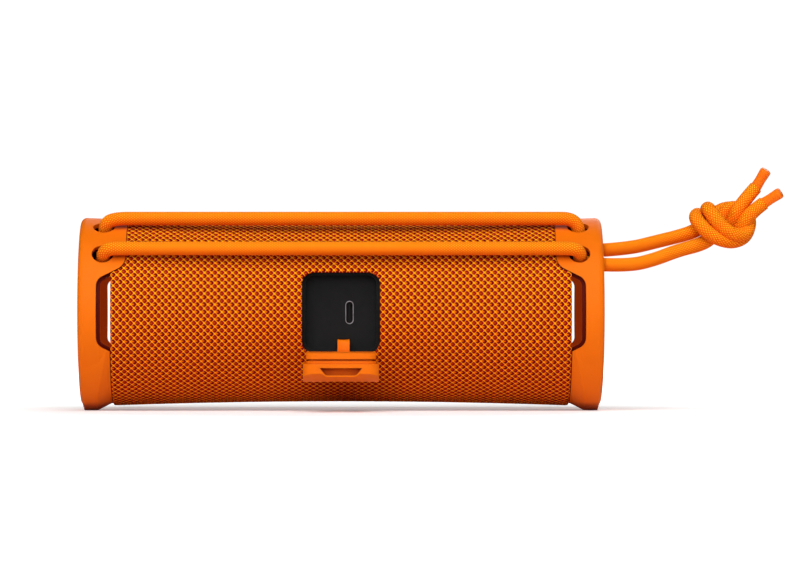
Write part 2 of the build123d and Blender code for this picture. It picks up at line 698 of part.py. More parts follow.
with BuildPart() as port_cover:
    add(plate(COVER_WIDE, COVER_HIGH, BAY_CORNER - 0.3, COVER_INNER_Y, 60, z=BAY_Z))
    add(waisted(COVER_R - WAIST_R), mode=Mode.INTERSECT)
    extrude(cover_trapezoid(0.55), amount=-6)
    boss_z = (BOSS_BOTTOM + BOSS_TOP) / 2
    boss_high = BOSS_TOP - BOSS_BOTTOM
    band_y = COVER_INNER_Y - BAND_T
    groove_y = band_y - GROOVE_T
    add(plate(BOSS_WIDE, boss_high, BOSS_CORNER, band_y, COVER_INNER_Y, z=boss_z))
    add(plate(BOSS_WIDE - 2 * GROOVE_DEEP, boss_high - 2 * GROOVE_DEEP, BOSS_CORNER - GROOVE_DEEP, groove_y, band_y, z=boss_z))
    add(plate(BOSS_WIDE, boss_high, BOSS_CORNER, BOSS_Y, groove_y, z=boss_z))
    extrude(cover_trapezoid(0), amount=-3.2, mode=Mode.SUBTRACT)
    add(hinge_relief.part, mode=Mode.SUBTRACT)
save(port_cover.part.rotate(hinge_line, -OPEN_ANGLE), "port_cover")

with BuildPart() as port_tether:
    with BuildSketch(Plane.YZ.offset(TETHER_X - TETHER_WIDE / 2)):
        with BuildLine():
            middle = FilletPolyline((FLOOR_Y - 2.2, TETHER_Z), (32.0, TETHER_Z), (33.6, 24.5), radius=1.8)
            offset(amount=TETHER_T / 2)
        make_face()
    extrude(amount=TETHER_WIDE)
save(port_tether.part, "port_tether")

# ---------------------------------------------------------------- controls
with BuildPart() as control_strip:
    add(strip_slab(STRIP_LONG, STRIP_WIDE, 5.0, STRIP_FLOOR, 60))
    add(waisted(STRIP_PROUD), mode=Mode.INTERSECT)
    with BuildSketch(radial(CONTROL_ANGLE, STRIP_FLOOR - 1)):
        with GridLocations(BUTTON_PITCH, 0, len(BUTTONS), 1):
            Circle(BUTTON_D / 2 + 0.3)
        with Locations((-51.0, 0)):
            Circle(1.05)
        with Locations((51.0, 0)):
            Circle(0.6)
    extrude(amount=8, mode=Mode.SUBTRACT)
save(control_strip.part, "control_strip")

for place, name in enumerate(BUTTONS):
    x = (place - (len(BUTTONS) - 1) / 2) * BUTTON_PITCH
    top = WAIST_R + (END_R - WAIST_R) * (x / BODY_HALF) ** 2 + STRIP_PROUD + 0.5
    with BuildPart() as button:
        for low, high, radius in ((31.0, 31.6, 1.2), (31.6, 32.25, BUTTON_FLANGE_D / 2), (32.25, top, BUTTON_D / 2)):
            with BuildSketch(radial(CONTROL_ANGLE, low)):
                with Locations((x, 0)):
                    Circle(radius)
            extrude(amount=high - low)
        rim = button.faces().sort_by(Axis((0, 0, 0), tuple(radial(CONTROL_ANGLE).z_dir)))[-1]
        fillet(rim.edges(), 0.7)
    save(button.part, f"button_{name}")

BOARD_TOP = BOARD_LOW + BOARD_T + 0.05
save(strip_slab(116, 10, 1.5, BOARD_LOW, BOARD_LOW + BOARD_T), "button_board")

with BuildPart() as button_switches:
    with BuildSketch(radial(CONTROL_ANGLE, BOARD_TOP)):
        with GridLocations(BUTTON_PITCH, 0, len(BUTTONS), 1):
            RectangleRounded(4.4, 4.4, 0.6)
    extrude(amount=30.4 - BOARD_TOP)
save(button_switches.part, "button_switches")

save(strip_slab(3.5, 2.6, 0.3, BOARD_TOP, BOARD_TOP + 1.1, x=51.0), "microphone")

with BuildPart() as status_lens:
    with BuildSketch(radial(CONTROL_ANGLE, BOARD_TOP)):
        with Locations((-51.0, 0)):
            Circle(0.95)
    extrude(amount=36.1 - BOARD_TOP)
save(status_lens.part, "status_lens")

# ---------------------------------------------------------------- electronics and battery
with BuildPart() as main_board:
    add(block((-58, 58), (-8, 16), (BOARD_Z, BOARD_Z + 1.6)))
    for x, y in STANDOFFS:
        add(rod((x, y, AXIS_Z + BOARD_Z - 1), (0, 0, 1), 1.1, 4), mode=Mode.SUBTRACT)
save(main_board.part, "main_board")

CHIPS = (  # x, y, length, width, height
    (-34, 1, 9, 9, 1.2),
    (-10, 1, 7, 7, 1.0),
    (14, 1, 12, 8, 1.4),
    (36, 1, 7, 7, 2.4),
    (46, 1, 7, 7, 2.4),
    (-48, 0, 6, 5, 1.0),
)
with BuildPart() as board_components:
    for x, y, long, wide, high in CHIPS:
        low = BOARD_Z + 1.65
        add(block((x - long / 2, x + long / 2), (y - wide / 2, y + wide / 2), (low, low + high)))
    for x in (-6.0, 3.0):
        add(rod((x, 12, AXIS_Z + BOARD_Z + 1.65), (0, 0, 1), 3.0, 5.0))
save(board_components.part, "board_components")

save(
    spread_screws([(x, y, AXIS_Z + BOARD_Z + 1.6) for x, y in STANDOFFS], (0, 0, -1), 1.0, 6, 1.9, 1.3),
    "board_screws",
)

CELL_Y, CELL_Z, CELL_R, CELL_LOW, CELL_LONG = 18.8, -4.0, 9.15, 19.0, 48.5
with BuildPart() as battery_cells:
    for side in SIDES.values():
        centre = Vector(side * CELL_LOW, CELL_Y, AXIS_Z + CELL_Z)
        add(rod(centre, (side, 0, 0), CELL_R, CELL_LONG))
        add(rod(centre + Vector(side * CELL_LONG, 0, 0), (side, 0, 0), 2.8, 0.8))
save(battery_cells.part, "battery_cells")

with BuildPart() as battery_tray:
    for side in SIDES.values():
        low, high = sorted((side * (CELL_LOW + 1), side * (CELL_LOW + CELL_LONG - 1)))
        centre = (low, CELL_Y, AXIS_Z + CELL_Z)
        add(rod(centre, (1, 0, 0), CELL_R + 1.4, high - low))
        add(block((low, high), (CELL_Y + 8, 29.6), (CELL_Z - 5, CELL_Z - 3)))
        add(rod(centre, (1, 0, 0), CELL_R + GAP, high - low), mode=Mode.SUBTRACT)
        add(block((low, high), (0, 40), (CELL_Z - 1, 30)), mode=Mode.SUBTRACT)
save(battery_tray.part, "battery_tray")

# ---------------------------------------------------------------- strap
RUN_X, TURN_X = 92.4, 91.5  # where the runs dive into the left and the right cap
UPPER_RUN = (17.3, AXIS_Z + 36.3)
LOWER_RUN = (31.9, AXIS_Z + 24.5)
UPPER_EXIT, LOWER_EXIT = [(y, AXIS_Z + z) for y, z in EXITS]
TAIL_X = -102.3  # just outside the left cap's face


def turn(before, corner, after):
    """How far the route turns at a corner, in degrees."""
    return (corner - before).get_angle(after - corner)


def corner_radii(points):
    """The arc of each corner, as large as its two runs allow."""
    radii = []
    for before, corner, after in zip(points, points[1:], points[2:]):
        run = min((corner - before).length, (after - corner).length)
        radii.append(0.45 * run / tan(radians(turn(before, corner, after) / 2)))
    return radii


def tube(name, points, radii=None):
    """A cord of straight runs joined by tangent arcs."""
    points = [Vector(*p) for p in points]
    radii = radii or corner_radii(points)
    with BuildPart() as solid:
        with BuildLine() as route:
            FilletPolyline(*points, radius=radii)
        with BuildSketch(Plane(route.line @ 0, z_dir=route.line % 0)):
            Circle(CORD_D / 2)
        sweep()
    length = sum(edge.length for edge in route.edges())
    share = solid.part.volume / (length * pi * CORD_D**2 / 4)
    print(f"{name}: length {length:.1f}, volume over section times length {share:.4f}")
    print("  radii", [round(r, 1) for r in radii])
    return solid.part


held_route = [
    (TAIL_X, *UPPER_EXIT),
    (-RUN_X, *UPPER_EXIT),
    (-RUN_X, *UPPER_RUN),
    (TURN_X, *UPPER_RUN),
    (TURN_X + 0.4, 12.4, AXIS_Z + 27.0),
    (TURN_X + 1.7, 11.4, AXIS_Z + 18.8),
    (TURN_X + 1.7, 17.0, AXIS_Z + 13.4),
    (TURN_X + 0.4, 24.3, AXIS_Z + 18.6),
    (TURN_X, *LOWER_RUN),
    (-RUN_X, *LOWER_RUN),
    (-RUN_X, *LOWER_EXIT),
    (TAIL_X, *LOWER_EXIT),
]
held_radii = corner_radii([Vector(*p) for p in held_route])
held_radii[1] = 6.2
save(tube("strap_run", held_route, held_radii), "strap_run")

upper_tail = [
    (TAIL_X, *UPPER_EXIT),
    (-112.5, 13.5, 63.2),
    (-122.5, 13.9, 66.3),
    (-132.0, 14.4, 69.0),
    (-138.0, 14.8, 71.1),
]
lower_tail = [
    (TAIL_X, *LOWER_EXIT),
    (-112.0, 23.2, 56.4),
    (-121.5, 22.2, 58.4),
    (-130.5, 21.0, 61.8),
    (-139.0, 19.8, 64.4),
    (-143.5, 19.2, 66.4),
]
save(tube("strap_tail_upper", upper_tail), "strap_tail_upper")
save(tube("strap_tail_lower", lower_tail), "strap_tail_lower")

KNOT = (-147.8, 17.2, 72.2)
with BuildPart() as strap_knot:
    with BuildSketch(Plane(KNOT, x_dir=(1, 0, 0), z_dir=(0, -1, 0))):
        Ellipse(12.9, 8.7)
        split(bisect_by=Plane.XZ, keep=Keep.BOTTOM)
    revolve(axis=Axis(KNOT, (1, 0, 0)))
save(strap_knot.part, "strap_knot")

TIP_D, TIP_LONG = 4.2, 7.8
for name, root, step, end in (
    ("upper", (-155.5, 15.2, 79.0), (-161.2, 15.6, 86.7), (-165.1, 15.4, 93.4)),
    ("lower", (-156.5, 19.5, 74.6), (-164.1, 19.0, 80.6), (-170.4, 19.2, 84.7)),
):
    root, step, end = Vector(*root), Vector(*step), Vector(*end)
    with BuildPart() as strap_tip:
        add(rod(root, (step - root).normalized(), CORD_D / 2, (step - root).length))
        add(rod(step - (end - step) * 0.1, (end - step).normalized(), TIP_D / 2, (end - step).length * 1.1))
    save(strap_tip.part, f"strap_tip_{name}")
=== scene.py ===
"""The looks of a portable cylindrical speaker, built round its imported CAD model."""

import json
import math

import bmesh
import bpy
import numpy as np
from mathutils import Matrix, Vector


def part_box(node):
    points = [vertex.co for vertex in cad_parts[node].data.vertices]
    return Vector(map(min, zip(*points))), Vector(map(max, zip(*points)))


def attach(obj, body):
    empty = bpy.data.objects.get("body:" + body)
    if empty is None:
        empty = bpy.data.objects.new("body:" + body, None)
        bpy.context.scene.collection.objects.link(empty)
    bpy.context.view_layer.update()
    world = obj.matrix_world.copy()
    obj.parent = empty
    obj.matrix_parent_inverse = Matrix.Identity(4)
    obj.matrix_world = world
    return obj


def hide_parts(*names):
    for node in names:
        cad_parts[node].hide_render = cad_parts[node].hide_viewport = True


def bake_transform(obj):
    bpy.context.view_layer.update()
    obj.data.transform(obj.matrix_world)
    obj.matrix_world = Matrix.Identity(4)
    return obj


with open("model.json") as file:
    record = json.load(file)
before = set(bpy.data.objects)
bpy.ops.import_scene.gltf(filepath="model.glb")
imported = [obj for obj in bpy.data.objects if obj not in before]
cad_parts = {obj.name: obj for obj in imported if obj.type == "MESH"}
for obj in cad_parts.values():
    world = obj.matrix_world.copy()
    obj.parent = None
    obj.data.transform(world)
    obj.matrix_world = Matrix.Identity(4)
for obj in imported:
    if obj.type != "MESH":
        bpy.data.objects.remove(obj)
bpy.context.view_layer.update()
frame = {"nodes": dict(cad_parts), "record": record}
nodes = frame["nodes"]

AXIS_Z = 0.0384
CORD_R = 0.00265
TIP_R = 0.0021
AIM = (0, 0, 0.04)  # where the lights point

# ---------------------------------------------------------------- camera, floor and light
scene = bpy.context.scene
camera_data = bpy.data.cameras.new("camera")
camera_data.lens = 233.7
camera_data.sensor_width = 36.0
camera_data.shift_x = 0.0662
camera_data.shift_y = 0.0235
camera_data.clip_end = 50.0
camera = bpy.data.objects.new("camera", camera_data)
camera.location = (0.0, 2.0, AXIS_Z)
camera.rotation_euler = (math.radians(90), 0.0, math.radians(180))
scene.collection.objects.link(camera)
scene.camera = camera
scene.view_settings.view_transform = "Standard"
scene.view_settings.look = "None"


def area_light(name, place, target, size, power):
    """A soft light at place that faces target."""
    data = bpy.data.lights.new(name, "AREA")
    data.shape = "RECTANGLE"
    data.size, data.size_y = size
    data.energy = power
    lamp = bpy.data.objects.new(name, data)
    lamp.location = place
    lamp.rotation_euler = (Vector(target) - Vector(place)).to_track_quat("-Z", "Y").to_euler()
    scene.collection.objects.link(lamp)


area_light("light_top", (0.0, 0.9, 1.3), AIM, (1.6, 1.0), 17.0)
area_light("light_back", (0.3, 2.2, 0.9), AIM, (1.6, 0.9), 28.0)
area_light("light_left", (1.5, 0.5, 0.5), AIM, (0.7, 0.7), 2.0)
area_light("light_right", (-1.5, 0.5, 0.5), AIM, (0.7, 0.7), 2.0)
area_light("light_front", (-0.4, -1.6, 0.9), AIM, (1.2, 0.9), 15.0)


def seen_white(tree, lit):
    """Whatever a light ray meets, the eye meets plain white."""
    path = tree.nodes.new("ShaderNodeLightPath")
    white = tree.nodes.new("ShaderNodeBackground")
    white.inputs["Strength"].default_value = 1.05
    white.inputs["Color"].default_value = (1, 1, 1, 1)
    choice = tree.nodes.new("ShaderNodeMixShader")
    tree.links.new(path.outputs["Is Camera Ray"], choice.inputs[0])
    tree.links.new(lit, choice.inputs[1])
    tree.links.new(white.outputs[0], choice.inputs[2])
    return choice.outputs[0]


world = bpy.data.worlds.new("studio")
world.use_nodes = True
sky = world.node_tree
background = sky.nodes["Background"]
height = sky.nodes.new("ShaderNodeSeparateXYZ")
sky.links.new(sky.nodes.new("ShaderNodeTexCoord").outputs["Generated"], height.inputs[0])
shade = sky.nodes.new("ShaderNodeMapRange")
shade.inputs["From Min"].default_value = -0.6
shade.inputs["From Max"].default_value = 0.8
shade.inputs["To Min"].default_value = 0.75
shade.inputs["To Max"].default_value = 0.72
sky.links.new(height.outputs[2], shade.inputs["Value"])
sky.links.new(shade.outputs[0], background.inputs["Strength"])
sky.links.new(seen_white(sky, background.outputs[0]), sky.nodes["World Output"].inputs["Surface"])
scene.world = world


# ---------------------------------------------------------------- material helpers
class Shader:
    """A small builder for node materials."""

    def __init__(self, name):
        self.material = bpy.data.materials.new(name)
        self.material.use_nodes = True
        self.tree = self.material.node_tree
        self.bsdf = self.tree.nodes["Principled BSDF"]

    def node(self, kind, **settings):
        made = self.tree.nodes.new(kind)
        for key, value in settings.items():
            setattr(made, key, value)
        return made

    def put(self, socket, value):
        """Links an output, or sets a constant, on an input socket."""
        if isinstance(value, bpy.types.NodeSocket):
            self.tree.links.new(value, socket)
        elif hasattr(value, "__len__") and len(value) == 3 and socket.type == "RGBA":
            socket.default_value = (*value, 1)
        else:
            socket.default_value = value

    def set(self, **values):
        for key, value in values.items():
            self.put(self.bsdf.inputs[key.replace("_", " ")], value)

    def math(self, operation, a, b=None, c=None, clamp=False):
        made = self.node("ShaderNodeMath", operation=operation, use_clamp=clamp)
        for socket, value in zip(made.inputs, (a, b, c)):
            if value is not None:
                self.put(socket, value)
        return made.outputs[0]

    def mix(self, share, a, b, mode="MIX"):
        made = self.node("ShaderNodeMix", data_type="RGBA", blend_type=mode)
        self.put(made.inputs["Factor"], share)
        self.put(made.inputs[6], a)
        self.put(made.inputs[7], b)
        return made.outputs[2]

    def ramp(self, share, *stops):
        made = self.node("ShaderNodeValToRGB")
        elements = made.color_ramp.elements
        while len(elements) < len(stops):
            elements.new(0.5)
        for element, (place, colour) in zip(elements, stops):
            element.position = place
            element.color = (*colour, 1) if hasattr(colour, "__len__") else (colour, colour, colour, 1)
        self.put(made.inputs[0], share)
        return made.outputs[0]

    def object_place(self):
        return self.node("ShaderNodeTexCoord").outputs["Object"]

    def noise(self, scale, detail=2.0, roughness=0.5):
        made = self.node("ShaderNodeTexNoise")
        self.put(made.inputs["Vector"], self.object_place())
        self.put(made.inputs["Scale"], scale)
        self.put(made.inputs["Detail"], detail)
        self.put(made.inputs["Roughness"], roughness)
        return made.outputs["Fac"]

    def bump(self, height, distance, strength=1.0, normal=None):
        made = self.node("ShaderNodeBump")
        self.put(made.inputs["Height"], height)
        self.put(made.inputs["Distance"], distance)
        self.put(made.inputs["Strength"], strength)
        if normal is not None:
            self.put(made.inputs["Normal"], normal)
        return made.outputs[0]

    def soft_edges(self, radius):
        made = self.node("ShaderNodeBevel", samples=4)
        self.put(made.inputs["Radius"], radius)
        return made.outputs[0]


def painted_shade_below(s, colour, share):
    """Painted shade: the same colour, deeper and redder on faces that look down, as dyed rubber and cloth are in
    shade.
    """
    facing = s.node("ShaderNodeSeparateXYZ")
    s.put(facing.inputs[0], s.node("ShaderNodeNewGeometry").outputs["Normal"])
    below = s.math("MULTIPLY_ADD", facing.outputs[2], -0.6 * share, 0.3 * share, clamp=True)
    return s.mix(below, colour, s.mix(1.0, colour, (0.95, 0.52, 0.5), "MULTIPLY"))


def moulded(name, low, high, roughness, edge=0.0, grain=2600.0, relief=0.00002, specular=0.08, shade_nooks=False):
    """Rubber or plastic: a slightly uneven colour, a fine grain and softened edges, and, when asked, painted shade in
    crevices and on faces that look down.
    """
    s = Shader(name)
    colour = s.ramp(s.noise(60.0, 3.0), (0.35, low), (0.65, high))
    if shade_nooks:
        # Painted shade: crevices darken with their occlusion, and faces that look down go deeper and redder.
        nook = s.node("ShaderNodeAmbientOcclusion", samples=8)
        nook.inputs["Distance"].default_value = 0.004
        shade = s.ramp(nook.outputs["AO"], (0.2, (0.55, 0.36, 0.3)), (0.7, 1.0))
        colour = s.mix(1.0, painted_shade_below(s, colour, 0.45), shade, "MULTIPLY")
    s.set(Base_Color=colour)
    s.set(Roughness=s.ramp(s.noise(400.0, 2.0), (0.3, roughness - 0.04), (0.7, roughness + 0.04)))
    s.set(Specular_IOR_Level=specular)
    s.set(Normal=s.bump(s.noise(grain, 2.0), relief, 0.6, s.soft_edges(edge) if edge > 0 else None))
    return s.material


def metal(name, low, high, roughness):
    s = Shader(name)
    s.set(Base_Color=s.ramp(s.noise(300.0, 3.0), (0.3, low), (0.7, high)), Metallic=1.0)
    s.set(Roughness=s.ramp(s.noise(900.0), (0.3, roughness - 0.06), (0.7, roughness + 0.06)))
    s.set(Normal=s.bump(s.noise(1800.0), 0.00001, 0.4, s.soft_edges(0.0001)))
    return s.material


# ---------------------------------------------------------------- the weave
WEAVE_X = 0.00270  # one repeat along the body
WEAVE_ROUND = 78  # repeats round the body


def weave():
    """Thin bright strands crossing between round holes, with darker yarns inside the holes."""
    s = Shader("weave")
    place = s.node("ShaderNodeSeparateXYZ")
    s.put(place.inputs[0], s.object_place())
    x, y, z = place.outputs
    angle = s.math("ARCTAN2", s.math("SUBTRACT", z, AXIS_Z), y)
    wobble = s.math("MULTIPLY", s.math("SUBTRACT", s.noise(350.0, 1.0), 0.5), 0.5)
    across = s.math("ADD", s.math("MULTIPLY", x, 2 * math.pi / WEAVE_X), wobble)
    up = s.math("ADD", s.math("MULTIPLY", angle, float(WEAVE_ROUND)), wobble)
    cos_a, cos_u = s.math("COSINE", across), s.math("COSINE", up)
    field = s.math("MULTIPLY", s.math("SUBTRACT", cos_u, cos_a), 0.5)
    hole = s.math("ABSOLUTE", field)
    open_kind = s.math("GREATER_THAN", field, 0.0)  # every second row has the deeper holes
    over = s.math("ABSOLUTE", s.math("SINE", s.math("MULTIPLY", s.math("SUBTRACT", up, across), 0.5)))
    under = s.math("ABSOLUTE", s.math("SINE", s.math("MULTIPLY", s.math("ADD", up, across), 0.5)))
    fibres = s.noise(5200.0, 2.0, 0.6)
    to_side = s.math("MULTIPLY", s.math("SINE", across), cos_u)
    # Painted highlight: the top strand is paler where it crosses the other strand, with the fibres' random tone mixed
    # in.
    crossing_highlight_and_fibres = s.math("MULTIPLY_ADD", fibres, 0.35, s.math("MULTIPLY", under, 0.65))
    top_strand = s.ramp(crossing_highlight_and_fibres, (0.2, (1.0, 0.74, 0.003)), (0.75, (1.0, 0.31, 0.002)))
    past_top = s.ramp(over, (0.14, 0.0), (0.28, 1.0))
    past_both = s.math("MULTIPLY", past_top, s.ramp(under, (0.10, 0.0), (0.24, 1.0)))
    past_both = s.math("MULTIPLY", past_both, s.ramp(hole, (0.11, 0.0), (0.24, 1.0)))
    strand = s.mix(past_top, top_strand, (1.0, 0.27, 0.002))
    row = s.math("MULTIPLY_ADD", s.math("ABSOLUTE", s.math("SINE", up)), -2.0, 1.55, clamp=True)
    reach = s.math("MULTIPLY_ADD", to_side, -1.3, s.math("MULTIPLY_ADD", open_kind, -0.45, 0.9), clamp=True)
    yarn = s.math("MULTIPLY", row, reach, clamp=True)
    bright = s.math("MULTIPLY", open_kind, s.math("MULTIPLY_ADD", to_side, -0.5, 0.5, clamp=True))
    yarn_colour = s.mix(bright, (0.50, 0.060, 0.0025), (1.0, 0.17, 0.003))
    dark = s.mix(open_kind, (0.250, 0.003, 0.008), (0.160, 0.002, 0.005))
    colour = s.mix(past_both, strand, s.mix(yarn, dark, yarn_colour))
    # Painted shade: faces that look down go deeper and redder.
    s.set(Base_Color=painted_shade_below(s, colour, 1.0))
    s.set(Roughness=0.9, Specular_IOR_Level=0.03)
    height = s.math("SQRT", s.math("SUBTRACT", 1.0, hole, clamp=True))
    height = s.math("MULTIPLY_ADD", yarn, 0.2, height)
    height = s.math("MULTIPLY_ADD", fibres, 0.12, height)
    s.set(Normal=s.bump(height, 0.00018, 0.7))
    return s.material


def braid():
    """A braided cord's sleeve, along the tube's own map: x round it, in turns, and y along it, in metres."""
    s = Shader("braid")
    place = s.node("ShaderNodeSeparateXYZ")
    s.put(place.inputs[0], s.node("ShaderNodeTexCoord").outputs["UV"])
    around, along, _ = place.outputs
    turns = s.math("MULTIPLY", around, 2 * math.pi * 16)
    steps = s.math("MULTIPLY", along, 2 * math.pi / 0.0013)
    one = s.math("COSINE", turns)
    two = s.math("COSINE", steps)
    field = s.math("MULTIPLY", s.math("ADD", s.math("MULTIPLY", s.math("SUBTRACT", one, two), 0.5), 1.0), 0.5)
    gap = s.math("ABSOLUTE", s.math("SUBTRACT", s.math("MULTIPLY", field, 2.0), 1.0))
    fuzz = s.noise(4200.0, 2.0, 0.6)
    colour = s.ramp(
        s.math("ADD", s.math("MULTIPLY", gap, 0.8), s.math("MULTIPLY", fuzz, 0.2)),
        (0.25, (0.84, 0.155, 0.001)),
        (0.60, (0.88, 0.205, 0.001)),
        (0.82, (1.0, 0.52, 0.03)),
    )
    # Painted shade: faces that look down go deeper and redder.
    s.set(Base_Color=painted_shade_below(s, colour, 1.2), Roughness=0.85, Specular_IOR_Level=0.04)
    height = s.math("ADD", s.math("SUBTRACT", 1.0, gap), s.math("MULTIPLY", fuzz, 0.3))
    s.set(Normal=s.bump(height, 0.00016, 0.7))
    return s.material


def inner_frame():
    """The end frames' plastic: painted shade on its skin, where the cap hides it, and a painted glow within, beside
    the windows, for the light that comes in through them.
    """
    s = Shader("frame_plastic")
    place = s.node("ShaderNodeSeparateXYZ")
    s.put(place.inputs[0], s.object_place())
    _, y, z = place.outputs
    height = s.math("SUBTRACT", z, AXIS_Z)
    radius = s.math("SQRT", s.math("ADD", s.math("MULTIPLY", y, y), s.math("MULTIPLY", height, height)))
    # Painted shade: the frame's outer skin, under the cap, is near black, a little less so beside the windows.
    shaded_skin = s.math("GREATER_THAN", radius, 0.0336)
    by_window = s.math("MULTIPLY_ADD", s.math("ABSOLUTE", height), -500.0, 8.0, clamp=True)
    # Painted glow: within, beside the windows, the plastic is brighter and emits warm light, standing in for light
    # that comes in through the windows.
    lit = s.math("MULTIPLY", by_window, s.math("SUBTRACT", 1.0, shaded_skin))
    unlit = s.mix(by_window, (0.03, 0.003, 0.001), (0.085, 0.004, 0.0015))
    s.set(Base_Color=s.mix(lit, unlit, (0.55, 0.09, 0.005)))
    s.set(Roughness=0.6, Specular_IOR_Level=0.05, Emission_Color=(0.21, 0.022, 0.002))
    s.set(Emission_Strength=s.math("MULTIPLY", lit, 0.75))
    s.set(Normal=s.bump(s.noise(2600.0), 0.00002, 0.5, s.soft_edges(0.0003)))
    return s.material


def socket():
    """Bright metal at the socket's mouth, and painted shade further in, where the same metal is near black."""
    s = Shader("socket_metal")
    place = s.node("ShaderNodeSeparateXYZ")
    s.put(place.inputs[0], s.object_place())
    mouth = s.math("GREATER_THAN", place.outputs[1], 0.0224)
    shine = s.ramp(s.noise(300.0, 3.0), (0.3, (0.24, 0.22, 0.23)), (0.7, (0.34, 0.31, 0.32)))
    # Painted shade: past the mouth the metal is near black.
    s.set(Base_Color=s.mix(mouth, (0.02, 0.018, 0.018), shine), Metallic=1.0, Roughness=0.32)
    s.set(Normal=s.bump(s.noise(1800.0), 0.00001, 0.4, s.soft_edges(0.0001)))
    return s.material


RUBBER_LOW, RUBBER_HIGH = (0.80, 0.154, 0.0015), (0.82, 0.160, 0.0015)
looks = {
    "cap_rubber": moulded("cap_rubber", RUBBER_LOW, RUBBER_HIGH, 0.55, 0.0004, shade_nooks=True),
    "cover_rubber": moulded("cover_rubber", (0.78, 0.150, 0.001), (0.84, 0.168, 0.002), 0.55, 0.0003, shade_nooks=True),
    "frame_plastic": inner_frame(),
    "black_plastic": moulded(
        "black_plastic", (0.0062, 0.0062, 0.0066), (0.0085, 0.0085, 0.009), 0.6, 0.0002, specular=0.12
    ),
    "surround_rubber": moulded("surround_rubber", (0.012, 0.012, 0.012), (0.02, 0.02, 0.02), 0.6),
    "radiator_weight": moulded("radiator_weight", (0.014, 0.012, 0.012), (0.022, 0.02, 0.02), 0.4, 0.0002),
    "cone_paper": moulded("cone_paper", (0.02, 0.02, 0.02), (0.035, 0.035, 0.035), 0.8, 0.0, 900.0, 0.00005),
    "dome_silk": moulded("dome_silk", (0.03, 0.03, 0.03), (0.05, 0.05, 0.05), 0.7, 0.0, 3000.0, 0.00004),
    "magnet_steel": metal("magnet_steel", (0.35, 0.35, 0.36), (0.5, 0.5, 0.5), 0.35),
    "basket_steel": moulded("basket_steel", (0.03, 0.03, 0.03), (0.045, 0.045, 0.045), 0.35, 0.0002),
    "coil_copper": metal("coil_copper", (0.66, 0.28, 0.12), (0.8, 0.38, 0.18), 0.35),
    "screw_steel": metal("screw_steel", (0.3, 0.3, 0.3), (0.42, 0.42, 0.42), 0.35),
    "gasket_foam": moulded("gasket_foam", (0.02, 0.02, 0.02), (0.04, 0.04, 0.04), 0.9, 0.0, 1500.0, 0.0001),
    "board_laminate": moulded("board_laminate", (0.01, 0.09, 0.03), (0.015, 0.13, 0.045), 0.35, 0.0001),
    "chip_plastic": moulded("chip_plastic", (0.02, 0.02, 0.02), (0.035, 0.035, 0.035), 0.5, 0.0001),
    "cell_wrap": moulded("cell_wrap", (0.03, 0.11, 0.28), (0.04, 0.14, 0.34), 0.25),
    "socket_metal": socket(),
    "button_rubber": moulded("button_rubber", RUBBER_LOW, RUBBER_HIGH, 0.5, 0.0003),
    "lens_plastic": moulded("lens_plastic", (0.8, 0.8, 0.8), (0.9, 0.9, 0.9), 0.2),
    "cord_tip": moulded(
        "cord_tip", (0.92, 0.16, 0.004), (1.0, 0.21, 0.005), 0.45, 0.0003, 1500.0, 0.00004, shade_nooks=True
    ),
}
looks["fabric_weave"] = weave()
looks["cord_braid"] = braid()

slots = {part["node"]: part["material_slot"] for part in frame["record"]["subparts"]}
for name, piece in nodes.items():
    piece.data.materials.clear()
    piece.data.materials.append(looks[slots[name]])
    piece.data.shade_smooth()
    piece.data.set_sharp_from_angle(angle=math.radians(32))


# ---------------------------------------------------------------- mesh helpers
def mesh_piece(name, vertices, faces, look, body="housing", uvs=None):
    """A new piece from vertices and faces, with an optional map given for each vertex of each face."""
    data = bpy.data.meshes.new(name)
    data.from_pydata([tuple(v) for v in vertices], [], faces)
    data.materials.append(looks[look])
    if uvs is not None:
        layer = data.uv_layers.new(name="map")
        layer.data.foreach_set("uv", np.asarray(uvs, np.float32).ravel())
    data.shade_smooth()
    data.update()
    piece = bpy.data.objects.new(name, data)
    scene.collection.objects.link(piece)
    if body:
        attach(piece, body)
    return piece


def spine(points, steps=24):
    """The smooth line of a route: a NURBS spline with the route's points as its control points."""
    data = bpy.data.curves.new("route", "CURVE")
    data.dimensions = "3D"
    data.resolution_u = steps
    spline = data.splines.new("NURBS")
    spline.points.add(len(points) - 1)
    for point, place in zip(spline.points, points):
        point.co = (*place, 1.0)
    spline.order_u = 3
    spline.use_endpoint_u = True
    holder = bpy.data.objects.new("route", data)
    line = bpy.data.meshes.new_from_object(holder)
    path = [v.co.copy() for v in line.vertices]
    bpy.data.objects.remove(holder)
    bpy.data.curves.remove(data)
    bpy.data.meshes.remove(line)
    return path


def path_length(path):
    return sum((b - a).length for a, b in zip(path, path[1:]))


def tube(name, path, radii, look, sides=28, start=0.0):
    """A round tube along a path, with a radius at each point, and a map of turns and metres."""
    tangents = [(path[min(i + 1, len(path) - 1)] - path[max(i - 1, 0)]).normalized() for i in range(len(path))]
    normal = tangents[0].orthogonal().normalized()
    vertices, along, gone = [], [], start
    for i, (place, tangent, radius) in enumerate(zip(path, tangents, radii)):
        normal = (normal - tangent * normal.dot(tangent)).normalized()
        binormal = tangent.cross(normal)
        gone += (place - path[i - 1]).length if i else 0.0
        along.append(gone)
        for k in range(sides):
            turn = 2 * math.pi * k / sides
            vertices.append(place + (normal * math.cos(turn) + binormal * math.sin(turn)) * radius)
    faces, uvs = [], []
    for i in range(len(path) - 1):
        for k in range(sides):
            a, b = i * sides + k, i * sides + (k + 1) % sides
            faces.append((a, b, b + sides, a + sides))
            uvs += [(k / sides, along[i]), ((k + 1) / sides, along[i])]
            uvs += [((k + 1) / sides, along[i + 1]), (k / sides, along[i + 1])]
    faces += [tuple(range(sides - 1, -1, -1)), tuple(range(len(vertices) - sides, len(vertices)))]
    uvs += [(0.0, along[0])] * sides + [(0.0, along[-1])] * sides
    return mesh_piece(name, vertices, faces, look, uvs=uvs)


